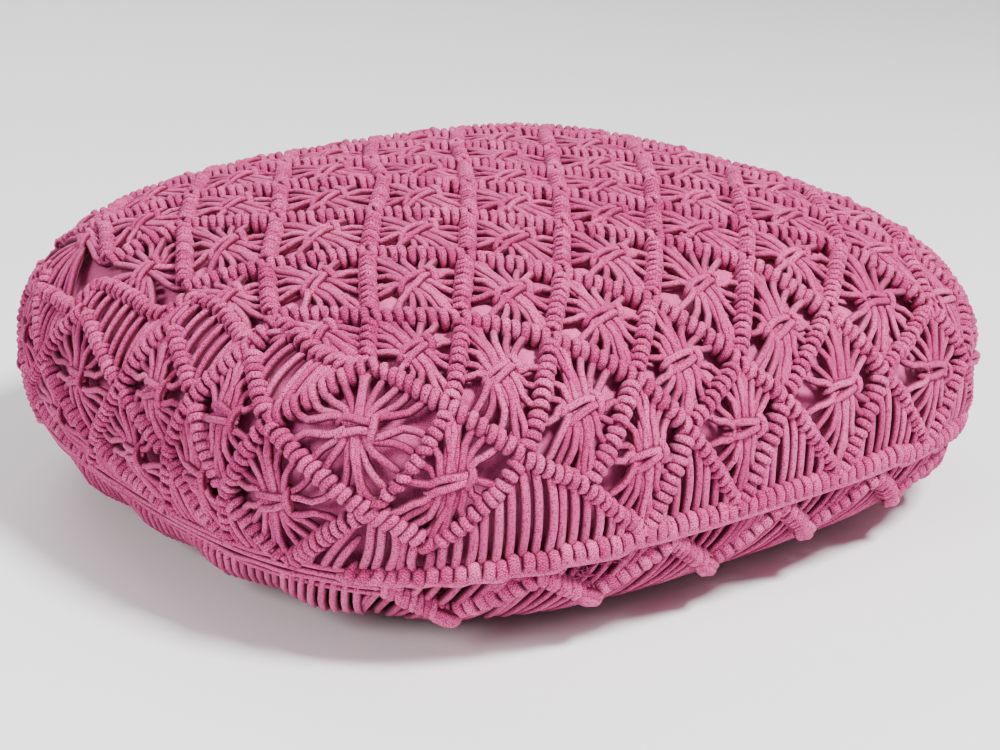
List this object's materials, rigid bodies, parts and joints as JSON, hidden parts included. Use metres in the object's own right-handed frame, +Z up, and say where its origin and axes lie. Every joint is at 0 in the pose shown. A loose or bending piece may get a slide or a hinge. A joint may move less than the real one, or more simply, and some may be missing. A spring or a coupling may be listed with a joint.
{
  "type": "macrame pouf",
  "caption": "Low square floor pouf: a filled cushion dressed in a knotted cotton cord cover of diamonds, with side bands and a knotted underside.",
  "frame": {"origin": "centre of the underside, on the floor", "axes": "+Z up, the front with the straight lower bar faces -Y, the side bands face -X and +X"},
  "size_m": [0.5102, 0.4982, 0.193],
  "materials": {
    "cord": "matt braided cotton",
    "casing": "plain woven cotton"
  },
  "bodies": {
    "root": {"inner_cushion": "casing", "top_panel": "cord", "side_band_left": "cord", "side_band_right": "cord", "bottom_panel": "cord"}
  },
  "joints": []
}
